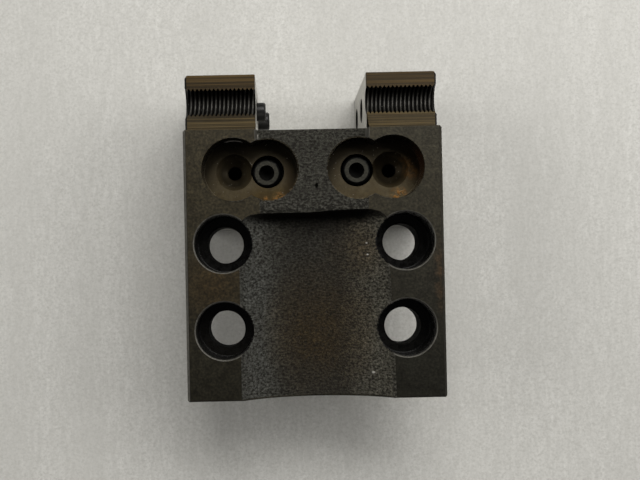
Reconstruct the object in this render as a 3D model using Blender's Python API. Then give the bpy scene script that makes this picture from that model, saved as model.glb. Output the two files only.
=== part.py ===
"""Turret block for square-shank turning tools, lying on its back.

A one-piece cast steel block: a 25 mm mounting flange with four counterbored
bolt holes, a deeper head behind it, and two posts that flank the tool channel.
Dog-point clamp screws travel across the channel from the left post.  Two
figure-eight pockets hold a conical nozzle seat and a cap screw each, fed by
drilled galleries whose ends are closed by plugs.  The flange's back carries the
locating key and the O-ring of the coolant inlet.

Frame: metres, +X to the right, +Y towards the posts, +Z out of the front face.
The origin is the centre of the footprint, on the surface the block lies on.
"""

import math

import bmesh
import bpy
from mathutils import Matrix, Vector

MM = 0.001
GAP = 0.3                      # between touching pieces, mm

# ---- block -----------------------------------------------------------------
WIDTH = 90.0
BODY_HEIGHT = 95.0             # bottom edge to the channel floor
POST_RISE = 21.0               # channel floor to the top of the posts
TOTAL_HEIGHT = BODY_HEIGHT + POST_RISE
HEAD_DEPTH = 58.0              # back of the head to the front pads
FLANGE_THICKNESS = 25.0
SHOULDER_Y = 63.0              # head starts here, above the bottom edge
CHANNEL_WIDTH = 40.0
POST_SETBACK = 9.0             # the posts' fronts are milled back from the pads
EDGE_CHAMFER = 0.8

# ---- cast relief in the front face -------------------------------------------
TROUGH_HALF_CHORD = 27.3
TROUGH_SAGITTA = 11.0
TROUGH_TOP_Y = 65.6
RELIEF_HALF_WIDTH = 20.0
RELIEF_DEPTH_TOP = 2.5
RELIEF_DEPTH_LOW = 0.5

# ---- mounting bolt holes -----------------------------------------------------
BOLT_X = 32.0
BOLT_Y = (24.6, 55.1)
BOLT_CLEARANCE_D = 13.5
COUNTERBORE_D = 20.0
COUNTERBORE_DEPTH = 13.0
COUNTERBORE_CHAMFER = 0.6

# ---- nozzle pockets ----------------------------------------------------------
POCKET_Y = 81.0
SEAT_X = 28.0
SCREW_X = 16.0
LOBE_D = 22.0
POCKET_DEPTH = 9.0
SEAT_D = 13.0
SEAT_HOLE_D = 5.0
SEAT_DEPTH = 4.0
NOZZLE_CBORE_D = 11.6
NOZZLE_CBORE_DEPTH = 6.6

# ---- clamp screws in the posts ------------------------------------------------
CLAMP_Y = BODY_HEIGHT + 11.4
CLAMP_Z = (49.0, 29.0, 9.0)    # the first axis lies in the posts' milled front
CLAMP_D = 10.0
CLAMP_SCREW_D = CLAMP_D - 2 * GAP
CLAMP_LENGTH = 25.0
DOG_D = 7.0
DOG_LENGTH = 5.0
CLAMP_PROTRUSION = {"front": 3.4, "rear": 4.5}

# ---- coolant galleries -------------------------------------------------------
GALLERY_D = 6.0
CROSS_Z = 22.0
RISER_Z = 40.0
INLET_Y = 54.0
INLET_D = 8.0
PLUG_D = 9.7
PLUG_LENGTH = 6.5
PLUG_BORE_DEPTH = 7.3

# ---- locating key ------------------------------------------------------------
KEY_Y = sum(BOLT_Y) / 2
KEY_WIDTH = 12.0
KEY_LENGTH = 50.0
KEY_HEIGHT = 9.0
KEYWAY_DEPTH = 4.0
KEY_SCREW_X = 16.0

FLANGE_BACK = HEAD_DEPTH - FLANGE_THICKNESS
POST_FRONT = HEAD_DEPTH - POST_SETBACK
HALF = WIDTH / 2


def point(x, y, z):
    """A point in millimetres from the block's bottom edge and back, in metres."""
    return Vector((x, y - TOTAL_HEIGHT / 2, z)) * MM


def material(name, colour, roughness, metallic):
    found = bpy.data.materials.new(name)
    found.use_nodes = True
    shader = found.node_tree.nodes["Principled BSDF"]
    shader.inputs["Base Color"].default_value = (*colour, 1.0)
    shader.inputs["Roughness"].default_value = roughness
    shader.inputs["Metallic"].default_value = metallic
    found.diffuse_color = (*colour, 1.0)
    return found


def outward(bm):
    bmesh.ops.recalc_face_normals(bm, faces=bm.faces)
    if bm.calc_volume(signed=True) < 0:
        bmesh.ops.reverse_faces(bm, faces=bm.faces)


def finish(bm, name):
    outward(bm)
    mesh = bpy.data.meshes.new(name)
    bm.to_mesh(mesh)
    bm.free()
    found = bpy.data.objects.new(name, mesh)
    bpy.context.scene.collection.objects.link(found)
    return found


def box(name, low, high):
    bm = bmesh.new()
    bmesh.ops.create_cube(bm, size=1.0)
    a, b = point(*low), point(*high)
    for v in bm.verts:
        v.co = Vector([a[i] if v.co[i] < 0 else b[i] for i in range(3)])
    return finish(bm, name)


def prism(name, outline, axis, low, high):
    """outline: points in the plane across axis, as (x, y), (x, z) or (y, z) in mm."""
    def place(p, level):
        if axis == "z":
            return point(p[0], p[1], level)
        if axis == "y":
            return point(p[0], level, p[1])
        return point(level, p[0], p[1])

    bm = bmesh.new()
    rings = [[bm.verts.new(place(p, level)) for p in outline] for level in (low, high)]
    bm.faces.new(rings[0])
    bm.faces.new(list(reversed(rings[1])))
    count = len(outline)
    for i in range(count):
        j = (i + 1) % count
        bm.faces.new((rings[0][i], rings[0][j], rings[1][j], rings[1][i]))
    return finish(bm, name)


def turned(name, centre, axis, profile, segments=40):
    """A solid of revolution. profile: (radius, distance along axis from centre), in
    mm, from one end to the other; a radius of 0 closes an end on the axis."""
    direction = Vector(axis).normalized()
    turn = Vector((0, 0, 1)).rotation_difference(direction).to_matrix()
    base = point(*centre)
    bm = bmesh.new()
    rings = []
    for radius, along in profile:
        if radius == 0:
            rings.append([bm.verts.new(base + turn @ Vector((0, 0, along)) * MM)])
            continue
        ring = []
        for i in range(segments):
            a = 2 * math.pi * i / segments
            p = Vector((radius * math.cos(a), radius * math.sin(a), along)) * MM
            ring.append(bm.verts.new(base + turn @ p))
        rings.append(ring)
    for lower, upper in zip(rings, rings[1:]):
        for i in range(segments):
            j = (i + 1) % segments
            if len(lower) == 1:
                bm.faces.new((lower[0], upper[j], upper[i]))
            elif len(upper) == 1:
                bm.faces.new((lower[i], lower[j], upper[0]))
            else:
                bm.faces.new((lower[i], lower[j], upper[j], upper[i]))
    if len(rings[0]) > 1:
        bm.faces.new(list(reversed(rings[0])))
    if len(rings[-1]) > 1:
        bm.faces.new(rings[-1])
    return finish(bm, name)


def hexagon(across):
    r = across / math.sqrt(3)
    return [(r * math.cos(math.pi * i / 3), r * math.sin(math.pi * i / 3)) for i in range(6)]


def hex_cutter(name, centre, axis, across, low, high):
    """A hexagonal prism along axis, from low to high mm past centre."""
    direction = Vector(axis).normalized()
    turn = Vector((0, 0, 1)).rotation_difference(direction).to_matrix()
    base = point(*centre)
    bm = bmesh.new()
    rings = [
        [bm.verts.new(base + turn @ Vector((x, y, level)) * MM) for x, y in hexagon(across)]
        for level in (low, high)
    ]
    bm.faces.new(list(reversed(rings[0])))
    bm.faces.new(rings[1])
    for i in range(6):
        j = (i + 1) % 6
        bm.faces.new((rings[0][i], rings[0][j], rings[1][j], rings[1][i]))
    return finish(bm, name)


def cut(target, cutters):
    """Takes the cutters out of target, keeps the result as its mesh."""
    for c in cutters:
        c.hide_render = True
        c.display_type = "WIRE"
        m = target.modifiers.new("cut", "BOOLEAN")
        m.operation = "DIFFERENCE"
        m.solver = "EXACT"
        m.object = c
    settle(target)
    for c in cutters:
        bpy.data.objects.remove(c)


def settle(target):
    depsgraph = bpy.context.evaluated_depsgraph_get()
    depsgraph.update()
    mesh = bpy.data.meshes.new_from_object(target.evaluated_get(depsgraph))
    target.modifiers.clear()
    old = target.data
    target.data = mesh
    bpy.data.meshes.remove(old)
    mesh.name = target.name


def smooth(target, degrees=32):
    target.data.shade_smooth()
    target.data.set_sharp_from_angle(angle=math.radians(degrees))


def origin_to(target, centre):
    """Moves the origin of a moving piece onto its axis, leaving its shape in place."""
    base = point(*centre)
    target.data.transform(Matrix.Translation(-base))
    target.location = base


def dress(target, surface, parent):
    target.data.materials.clear()
    target.data.materials.append(surface)
    smooth(target)
    target.parent = parent


for old in list(bpy.data.objects):
    bpy.data.objects.remove(old)

blackened = material("blackened_cast_steel", (0.030, 0.027, 0.022), 0.55, 0.55)
black_oxide = material("black_oxide_steel", (0.012, 0.012, 0.012), 0.38, 0.8)
plug_steel = material("plug_steel", (0.045, 0.043, 0.040), 0.42, 0.85)
key_steel = material("ground_key_steel", (0.30, 0.29, 0.28), 0.32, 1.0)
seal_rubber = material("seal_rubber", (0.010, 0.010, 0.010), 0.60, 0.0)

assembly = bpy.data.objects.new("turret_tool_block", None)
bpy.context.scene.collection.objects.link(assembly)

# ---- the block ----------------------------------------------------------------
body = box("holder_body", (-HALF, 0, 0), (HALF, TOTAL_HEIGHT, HEAD_DEPTH))
cut(body, [
    box("c_channel", (-CHANNEL_WIDTH / 2, BODY_HEIGHT, -5), (CHANNEL_WIDTH / 2, TOTAL_HEIGHT + 5, HEAD_DEPTH + 5)),
    box("c_under_flange", (-HALF - 5, -5, -5), (HALF + 5, SHOULDER_Y, FLANGE_BACK)),
    box("c_post_front", (-HALF - 5, BODY_HEIGHT, POST_FRONT), (HALF + 5, TOTAL_HEIGHT + 5, HEAD_DEPTH + 5)),
])
bevel = body.modifiers.new("edge_chamfer", "BEVEL")
bevel.width = EDGE_CHAMFER * MM
bevel.segments = 1
bevel.limit_method = "ANGLE"
bevel.angle_limit = math.radians(40)
bevel.harden_normals = False
settle(body)

# cast relief: a shallow sloping recess between the pockets, then a concave trough
trough_r = (TROUGH_HALF_CHORD ** 2 + TROUGH_SAGITTA ** 2) / (2 * TROUGH_SAGITTA)
trough_z = HEAD_DEPTH - TROUGH_SAGITTA + trough_r
half_angle = math.asin((TROUGH_HALF_CHORD + 4) / trough_r)
arc = [
    (trough_r * math.sin(a), trough_z - trough_r * math.cos(a))
    for a in [half_angle * (2 * i / 24 - 1) for i in range(25)]
]
arc += [(arc[-1][0], HEAD_DEPTH + 6), (arc[0][0], HEAD_DEPTH + 6)]
cutters = [
    prism("c_relief", [(TROUGH_TOP_Y - 0.5, HEAD_DEPTH - RELIEF_DEPTH_LOW), (BODY_HEIGHT + 3, HEAD_DEPTH - RELIEF_DEPTH_TOP),
                       (BODY_HEIGHT + 3, HEAD_DEPTH + 4), (TROUGH_TOP_Y - 0.5, HEAD_DEPTH + 4)],
          "x", -RELIEF_HALF_WIDTH, RELIEF_HALF_WIDTH),
    prism("c_trough", arc, "y", -4, TROUGH_TOP_Y),
]

# mounting bolt holes
r_hole, r_bore = BOLT_CLEARANCE_D / 2, COUNTERBORE_D / 2
floor_z = HEAD_DEPTH - COUNTERBORE_DEPTH
for x in (-BOLT_X, BOLT_X):
    for y in BOLT_Y:
        cutters.append(turned("c_bolt", (x, y, 0), (0, 0, 1), [
            (r_hole, FLANGE_BACK - 4), (r_hole, floor_z), (r_bore, floor_z),
            (r_bore, HEAD_DEPTH - COUNTERBORE_CHAMFER),
            (r_bore + COUNTERBORE_CHAMFER + 2, HEAD_DEPTH + 2)], 40))

# nozzle pockets: two overlapping lobes, a conical seat in one, a screw in the other
lobe_r = LOBE_D / 2
pocket_floor = HEAD_DEPTH - POCKET_DEPTH
alpha = math.acos((SEAT_X - SCREW_X) / 2 / lobe_r)
steps = 26
for side in (-1, 1):
    left, right = sorted((side * SEAT_X, side * SCREW_X))
    outline = []
    for i in range(steps + 1):
        a = alpha + (2 * math.pi - 2 * alpha) * i / steps
        outline.append((left + lobe_r * math.cos(a), POCKET_Y + lobe_r * math.sin(a)))
    for i in range(1, steps):
        a = -(math.pi - alpha) + 2 * (math.pi - alpha) * i / steps
        outline.append((right + lobe_r * math.cos(a), POCKET_Y + lobe_r * math.sin(a)))
    cutters.append(prism("c_pocket", outline, "z", pocket_floor, HEAD_DEPTH + 4))
    cutters.append(turned("c_seat", (side * SEAT_X, POCKET_Y, 0), (0, 0, 1), [
        (SEAT_HOLE_D / 2, CROSS_Z), (SEAT_HOLE_D / 2, pocket_floor - SEAT_DEPTH),
        (SEAT_D / 2, pocket_floor), (SEAT_D / 2 + 1.0, pocket_floor + 1.0)], 32))
    cutters.append(turned("c_nozzle_screw", (side * SCREW_X, POCKET_Y, 0), (0, 0, 1), [
        (0, 26.2), (3.0, 28.0), (3.0, pocket_floor - NOZZLE_CBORE_DEPTH),
        (NOZZLE_CBORE_D / 2, pocket_floor - NOZZLE_CBORE_DEPTH), (NOZZLE_CBORE_D / 2, pocket_floor + 3)], 32))

# tapped holes across both posts, at their thread's major diameter; the first
# pair is halved by the milled front
for x0, x1 in ((-HALF - 4, -CHANNEL_WIDTH / 2 + 4), (CHANNEL_WIDTH / 2 - 4, HALF + 4)):
    for z in CLAMP_Z:
        cutters.append(turned("c_clamp", (0, CLAMP_Y, z), (1, 0, 0), [(CLAMP_D / 2, x0), (CLAMP_D / 2, x1)], 32))

# coolant galleries, from the inlet in the flange's back to both nozzle seats
g = GALLERY_D / 2
p = PLUG_D / 2 + GAP
cutters += [
    turned("c_cross", (0, POCKET_Y, CROSS_Z), (1, 0, 0), [
        (p, -HALF - 3), (p, -HALF + PLUG_BORE_DEPTH), (g, -HALF + PLUG_BORE_DEPTH),
        (g, HALF - PLUG_BORE_DEPTH), (p, HALF - PLUG_BORE_DEPTH), (p, HALF + 3)], 24),
    turned("c_link", (0, POCKET_Y, 0), (0, 0, 1), [
        (p, -3), (p, PLUG_BORE_DEPTH), (g - 0.1, PLUG_BORE_DEPTH), (g - 0.1, RISER_Z), (0, RISER_Z + 1.2)], 24),
    turned("c_riser", (0, 0, RISER_Z), (0, 1, 0), [
        (0, INLET_Y - 5), (g, INLET_Y - 3.4), (g, BODY_HEIGHT - PLUG_BORE_DEPTH),
        (p, BODY_HEIGHT - PLUG_BORE_DEPTH), (p, BODY_HEIGHT + 3)], 24),
    turned("c_inlet", (0, INLET_Y, 0), (0, 0, 1), [
        (6.7, FLANGE_BACK - 3), (6.7, FLANGE_BACK + 1.7), (INLET_D / 2, FLANGE_BACK + 1.7), (INLET_D / 2, RISER_Z)], 32),
]

# keyway across the flange's back, with its two tapped holes
cutters.append(box("c_keyway", (-KEY_LENGTH / 2 - GAP, KEY_Y - KEY_WIDTH / 2 - GAP, FLANGE_BACK - 4),
                   (KEY_LENGTH / 2 + GAP, KEY_Y + KEY_WIDTH / 2 + GAP, FLANGE_BACK + KEYWAY_DEPTH)))
for side in (-1, 1):
    cutters.append(turned("c_key_tap", (side * KEY_SCREW_X, KEY_Y, 0), (0, 0, 1), [
        (2.5, FLANGE_BACK), (2.5, FLANGE_BACK + KEYWAY_DEPTH + 9.2), (0, FLANGE_BACK + KEYWAY_DEPTH + 10.4)], 20))
cut(body, cutters)
dress(body, blackened, assembly)

# ---- clamp screws: M10 x 25, hexagon socket, long dog point, in the left post -----
for name, z in (("front", CLAMP_Z[1]), ("rear", CLAMP_Z[2])):
    tip = -CHANNEL_WIDTH / 2 + CLAMP_PROTRUSION[name]
    tail = tip - CLAMP_LENGTH
    r, d = CLAMP_SCREW_D / 2, DOG_D / 2
    screw = turned("clamp_screw_" + name, (0, CLAMP_Y, z), (1, 0, 0), [
        (r - 1.0, tail), (r, tail + 1.0), (r, tip - DOG_LENGTH - 1.0), (d, tip - DOG_LENGTH),
        (d, tip - 0.5), (d - 0.5, tip)], 32)
    cut(screw, [hex_cutter("c_hex", (0, CLAMP_Y, z), (1, 0, 0), 5.0, tail - 2, tail + 5.5)])
    origin_to(screw, (tip, CLAMP_Y, z))
    dress(screw, black_oxide, assembly)

# ---- nozzle screws: M6 x 12 cap screws in the pockets ----------------------------
head_low = pocket_floor - NOZZLE_CBORE_DEPTH + GAP
for name, side in (("left", -1), ("right", 1)):
    x = side * SCREW_X
    screw = turned("nozzle_screw_" + name, (x, POCKET_Y, 0), (0, 0, 1), [
        (2.0, head_low - 12.0), (2.7, head_low - 11.3), (2.7, head_low), (5.0, head_low),
        (5.0, head_low + 5.4), (4.4, head_low + 6.0)], 32)
    cut(screw, [hex_cutter("c_hex", (x, POCKET_Y, 0), (0, 0, 1), 5.0, head_low + 3.0, head_low + 8.0)])
    origin_to(screw, (x, POCKET_Y, head_low + 6.0))
    dress(screw, black_oxide, assembly)

# ---- gallery plugs: taper plugs with a hexagon socket, flush with their faces ------
for name, centre, axis in (
    ("left", (-HALF + 0.4, POCKET_Y, CROSS_Z), (1, 0, 0)),
    ("right", (HALF - 0.4, POCKET_Y, CROSS_Z), (-1, 0, 0)),
    ("back", (0, POCKET_Y, 0.4), (0, 0, 1)),
    ("top", (0, BODY_HEIGHT - 0.4, RISER_Z), (0, -1, 0)),
):
    r = PLUG_D / 2
    plug = turned("gallery_plug_" + name, centre, axis, [
        (r - 0.5, 0), (r, 0.5), (r - 0.2, PLUG_LENGTH - 0.6), (r - 0.8, PLUG_LENGTH)], 28)
    cut(plug, [hex_cutter("c_hex", centre, axis, 5.0, -2, 4.0)])
    dress(plug, plug_steel, assembly)

# ---- coolant inlet O-ring: 1.9 mm wire, standing 0.5 mm out of its counterbore -----
ring_r, wire_r = 5.35, 0.95
around, across = 36, 12
bm = bmesh.new()
grid = []
centre = point(0, INLET_Y, FLANGE_BACK - 0.5 + wire_r)
for i in range(around):
    a = 2 * math.pi * i / around
    loop = []
    for j in range(across):
        b = 2 * math.pi * j / across
        rr = ring_r + wire_r * math.cos(b)
        loop.append(bm.verts.new(centre + Vector((rr * math.cos(a), rr * math.sin(a), wire_r * math.sin(b))) * MM))
    grid.append(loop)
for i in range(around):
    for j in range(across):
        a, b = grid[i], grid[(i + 1) % around]
        k = (j + 1) % across
        bm.faces.new((a[j], b[j], b[k], a[k]))
dress(finish(bm, "inlet_o_ring"), seal_rubber, assembly)

# ---- locating key with its two M5 cap screws ---------------------------------------
key_low = FLANGE_BACK + KEYWAY_DEPTH - GAP - KEY_HEIGHT
key_high = FLANGE_BACK + KEYWAY_DEPTH - GAP
key = box("locating_key", (-KEY_LENGTH / 2, KEY_Y - KEY_WIDTH / 2, key_low), (KEY_LENGTH / 2, KEY_Y + KEY_WIDTH / 2, key_high))
bevel = key.modifiers.new("edge_chamfer", "BEVEL")
bevel.width = 0.6 * MM
bevel.segments = 1
bevel.limit_method = "ANGLE"
bevel.angle_limit = math.radians(40)
settle(key)
cut(key, [
    turned("c_key_screw", (side * KEY_SCREW_X, KEY_Y, 0), (0, 0, 1), [
        (4.6, key_low - 3), (4.6, key_low + 5.6), (2.75, key_low + 5.6), (2.75, key_high + 3)], 28)
    for side in (-1, 1)
])
dress(key, key_steel, assembly)
for name, side in (("left", -1), ("right", 1)):
    x = side * KEY_SCREW_X
    top = key_low + 5.3
    screw = turned("key_screw_" + name, (x, KEY_Y, 0), (0, 0, 1), [
        (3.7, key_low + 0.3), (4.25, key_low + 0.8), (4.25, top), (2.2, top), (2.2, top + 11.4), (1.6, top + 12.0)], 28)
    cut(screw, [hex_cutter("c_hex", (x, KEY_Y, 0), (0, 0, 1), 4.0, key_low - 2, key_low + 2.8)])
    dress(screw, black_oxide, assembly)
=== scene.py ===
import math

import bmesh
import bpy
import numpy as np
from mathutils import Matrix, Vector, noise


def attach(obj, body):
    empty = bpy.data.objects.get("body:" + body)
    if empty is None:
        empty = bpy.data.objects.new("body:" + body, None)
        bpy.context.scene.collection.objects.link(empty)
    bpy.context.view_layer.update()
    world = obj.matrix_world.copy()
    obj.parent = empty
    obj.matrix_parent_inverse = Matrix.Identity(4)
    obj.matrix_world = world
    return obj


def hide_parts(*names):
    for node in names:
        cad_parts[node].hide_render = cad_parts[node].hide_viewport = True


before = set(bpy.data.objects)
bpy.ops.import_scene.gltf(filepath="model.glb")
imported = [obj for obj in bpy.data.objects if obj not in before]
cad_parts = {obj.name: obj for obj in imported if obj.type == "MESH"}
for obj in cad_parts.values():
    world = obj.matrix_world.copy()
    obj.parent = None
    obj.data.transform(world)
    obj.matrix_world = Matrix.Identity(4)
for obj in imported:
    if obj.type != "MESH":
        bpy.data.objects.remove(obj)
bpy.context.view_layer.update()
SEG = 144
scene = bpy.context.scene

# The block's sizes, in mm from its bottom edge and its back, as the CAD has them.
H = 116.0
BOLTS = [(-32.0, 55.1), (32.0, 55.1), (-32.0, 24.6), (32.0, 24.6)]
POCKET_Y, SEAT_X, SCREW_X = 81.0, 28.0, 16.0
SIDE = 45.45
CLAMP_Y, CLAMP_Z = 106.4, (49.0, 29.0, 9.0)
SCREW_AT = {-1: (-16.4, 80.65), 1: (16.0, 81.0)}


def P(x, y, z):
    return Vector((x, y - H / 2, z)) * 0.001


# ---------------------------------------------------------------- mesh helpers
def new_object(name, verts, faces):
    mesh = bpy.data.meshes.new(name)
    mesh.from_pydata([tuple(v) for v in verts], [], faces)
    mesh.validate()
    mesh.update()
    o = bpy.data.objects.new(name, mesh)
    scene.collection.objects.link(o)
    return o


def fix_normals(o):
    bm = bmesh.new()
    bm.from_mesh(o.data)
    bmesh.ops.recalc_face_normals(bm, faces=bm.faces)
    if bm.calc_volume(signed=True) < 0:
        bmesh.ops.reverse_faces(bm, faces=bm.faces)
    bm.to_mesh(o.data)
    bm.free()
    return o


def basis(axis):
    return Vector((0, 0, 1)).rotation_difference(Vector(axis).normalized()).to_matrix()


def rings(name, centre, axis, stations, radius, segments):
    """A closed turned body. radius(s, angle array) gives each ring's radii in mm; stations run along the axis from centre."""
    turn = np.array(basis(axis))
    base = np.array(P(*centre))
    ang = np.arange(segments) * 2 * math.pi / segments
    verts = []
    for s in stations:
        r = np.broadcast_to(radius(s, ang), ang.shape)
        pts = np.stack([r * np.cos(ang), r * np.sin(ang), np.full(segments, s)], 1) * 0.001
        verts.append(pts @ turn.T + base)
    verts = np.concatenate(verts)
    n = len(stations)
    faces = []
    for k in range(n - 1):
        a, b = k * segments, (k + 1) * segments
        for i in range(segments):
            j = (i + 1) % segments
            faces.append((a + i, a + j, b + j, b + i))
    faces.append(tuple(range(segments - 1, -1, -1)))
    faces.append(tuple(range((n - 1) * segments, n * segments)))
    return new_object(name, verts, faces)


def turned(name, centre, axis, profile, segments=None):
    """profile: (radius, station) from one end to the other, in mm."""
    segments = segments or SEG
    turn = np.array(basis(axis))
    base = np.array(P(*centre))
    ang = np.arange(segments) * 2 * math.pi / segments
    verts = []
    for r, s in profile:
        pts = np.stack([r * np.cos(ang), r * np.sin(ang), np.full(segments, s)], 1) * 0.001
        verts.append(pts @ turn.T + base)
    n = len(profile)
    faces = []
    for k in range(n - 1):
        a, b = k * segments, (k + 1) * segments
        for i in range(segments):
            j = (i + 1) % segments
            faces.append((a + i, a + j, b + j, b + i))
    faces.append(tuple(range(segments - 1, -1, -1)))
    faces.append(tuple(range((n - 1) * segments, n * segments)))
    return fix_normals(new_object(name, np.concatenate(verts), faces))


def tooth(frac, flat_top=0.14, flat_low=0.80):
    """A thread's outline over one pitch: 1 on the wide crest, 0 in the narrow root."""
    d = np.abs(frac - 0.5) * 2
    return np.clip((flat_low - d) / (flat_low - flat_top), 0, 1)


def threaded_rod(name, centre, axis, s0, s1, outer, inner, pitch, mouths=()):
    """A tap-shaped cutter. mouths: (station, direction) of the chamfered mouths it opens."""
    per, segs = ((12, 96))
    count = int(round((s1 - s0) / pitch * per))
    stations = [s0 + (s1 - s0) * k / count for k in range(count + 1)]

    def radius(s, ang):
        r = inner + (outer - inner) * tooth((s / pitch - ang / (2 * math.pi)) % 1.0)
        for at, direction in mouths:
            r = np.maximum(r, outer + 0.55 + (s - at) * direction)
        return r

    return fix_normals(rings(name, centre, axis, stations, radius, segs))


def box(name, low, high):
    bm = bmesh.new()
    bmesh.ops.create_cube(bm, size=1.0)
    a, b = P(*low), P(*high)
    for v in bm.verts:
        v.co = Vector([a[i] if v.co[i] < 0 else b[i] for i in range(3)])
    mesh = bpy.data.meshes.new(name)
    bm.to_mesh(mesh)
    bm.free()
    o = bpy.data.objects.new(name, mesh)
    scene.collection.objects.link(o)
    return o


def settle(o):
    dg = bpy.context.evaluated_depsgraph_get()
    dg.update()
    mesh = bpy.data.meshes.new_from_object(o.evaluated_get(dg))
    o.modifiers.clear()
    old = o.data
    o.data = mesh
    bpy.data.meshes.remove(old)


def cut(o, cutters, solver="MANIFOLD"):
    for c in cutters:
        m = o.modifiers.new("cut", "BOOLEAN")
        m.operation = "DIFFERENCE"
        m.solver = solver
        m.object = c
    settle(o)
    for c in cutters:
        bpy.data.objects.remove(c)


def shade(o, degrees=30, weighted=True):
    o.data.shade_smooth()
    o.data.set_sharp_from_angle(angle=math.radians(degrees))
    if weighted:
        m = o.modifiers.new("face_weighted", "WEIGHTED_NORMAL")
        m.keep_sharp = True
        m.weight = 60


def stack(name, layers):
    """A closed body lofted through layers of equally many (x, y) points: (z, points)."""
    verts, n = [], len(layers[0][1])
    for z, pts in layers:
        verts += [P(x, y, z) for x, y in pts]
    faces = []
    for k in range(len(layers) - 1):
        a, b = k * n, (k + 1) * n
        for i in range(n):
            j = (i + 1) % n
            faces.append((a + i, a + j, b + j, b + i))
    faces.append(tuple(range(n - 1, -1, -1)))
    faces.append(tuple(range((len(layers) - 1) * n, len(layers) * n)))
    return fix_normals(new_object(name, verts, faces))


# ---------------------------------------------------------------- node helpers
class Nodes:
    """A short way of writing a material's nodes. Texture space is in millimetres."""

    def __init__(self, name):
        self.m = bpy.data.materials.new(name)
        self.m.use_nodes = True
        self.t = self.m.node_tree
        self.bsdf = self.t.nodes["Principled BSDF"]
        tc = self.t.nodes.new("ShaderNodeTexCoord")
        self.mm = self.vmath("SCALE", tc.outputs["Object"], 1000.0)

    def put(self, socket, value):
        if isinstance(value, bpy.types.NodeSocket):
            self.t.links.new(value, socket)
        else:
            socket.default_value = value

    def vmath(self, op, a, b):
        n = self.t.nodes.new("ShaderNodeVectorMath")
        n.operation = op
        self.put(n.inputs[0], a)
        if op == "SCALE":
            self.put(n.inputs["Scale"], b)
        else:
            self.put(n.inputs[1], b)
        return n.outputs["Vector"]

    def math(self, op, a, b=0.0, c=0.0, clamp=False):
        n = self.t.nodes.new("ShaderNodeMath")
        n.operation = op
        n.use_clamp = clamp
        for s, v in zip(n.inputs, (a, b, c)):
            self.put(s, v)
        return n.outputs[0]

    def split(self, v):
        n = self.t.nodes.new("ShaderNodeSeparateXYZ")
        self.put(n.inputs[0], v)
        return n.outputs

    def noise(self, scale, detail=2.0, rough=0.5, stretch=None, seed=0.0, vec=None):
        v = self.mm if vec is None else vec
        if stretch:
            v = self.vmath("MULTIPLY", v, stretch)
        if seed:
            v = self.vmath("ADD", v, (seed, seed * 1.7, seed * 0.6))
        n = self.t.nodes.new("ShaderNodeTexNoise")
        self.put(n.inputs["Vector"], v)
        n.inputs["Scale"].default_value = scale
        n.inputs["Detail"].default_value = detail
        n.inputs["Roughness"].default_value = rough
        return n.outputs["Fac"]

    def voronoi(self, scale, vec=None, feature="F1", rand=1.0, out="Distance"):
        n = self.t.nodes.new("ShaderNodeTexVoronoi")
        n.feature = feature
        self.put(n.inputs["Vector"], self.mm if vec is None else vec)
        n.inputs["Scale"].default_value = scale
        n.inputs["Randomness"].default_value = rand
        return n.outputs[out]

    def ramp(self, fac, stops, interp="LINEAR"):
        n = self.t.nodes.new("ShaderNodeValToRGB")
        n.color_ramp.interpolation = interp
        while len(n.color_ramp.elements) < len(stops):
            n.color_ramp.elements.new(0.5)
        for e, (pos, col) in zip(n.color_ramp.elements, stops):
            e.position = pos
            e.color = (*col, 1.0) if len(col) == 3 else col
        self.put(n.inputs[0], fac)
        return n.outputs["Color"]

    def grey(self, fac, a, b, lo=0.0, hi=1.0):
        n = self.t.nodes.new("ShaderNodeMapRange")
        self.put(n.inputs["Value"], fac)
        for k, v in (("From Min", a), ("From Max", b), ("To Min", lo), ("To Max", hi)):
            n.inputs[k].default_value = v
        return n.outputs["Result"]

    def mix(self, fac, a, b, blend="MIX"):
        n = self.t.nodes.new("ShaderNodeMix")
        n.data_type = "RGBA"
        n.blend_type = blend
        self.put(n.inputs[0], fac)
        self.put(n.inputs[6], (*a, 1.0) if isinstance(a, tuple) else a)
        self.put(n.inputs[7], (*b, 1.0) if isinstance(b, tuple) else b)
        return n.outputs[2]

    def bump(self, height, distance, strength=1.0, normal=None):
        n = self.t.nodes.new("ShaderNodeBump")
        self.put(n.inputs["Height"], height)
        n.inputs["Distance"].default_value = distance * 0.001
        n.inputs["Strength"].default_value = strength
        if normal is not None:
            self.put(n.inputs["Normal"], normal)
        return n.outputs["Normal"]

    def done(self, color, rough, metallic, normal=None, **more):
        self.put(self.bsdf.inputs["Base Color"], (*color, 1.0) if isinstance(color, tuple) else color)
        self.put(self.bsdf.inputs["Roughness"], rough)
        self.put(self.bsdf.inputs["Metallic"], metallic)
        if normal is not None:
            self.put(self.bsdf.inputs["Normal"], normal)
        for k, v in more.items():
            self.put(self.bsdf.inputs[k.replace("_", " ")], v)
        return self.m


def distance_to(n, x, y, stretch=(1, 1, 0)):
    """Distance in mm from a line along Z through (x, y)."""
    v = n.vmath("SUBTRACT", n.mm, (x, y - H / 2, 0))
    v = n.vmath("MULTIPLY", v, stretch)
    k = n.t.nodes.new("ShaderNodeVectorMath")
    k.operation = "LENGTH"
    n.put(k.inputs[0], v)
    return k.outputs["Value"]


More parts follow.
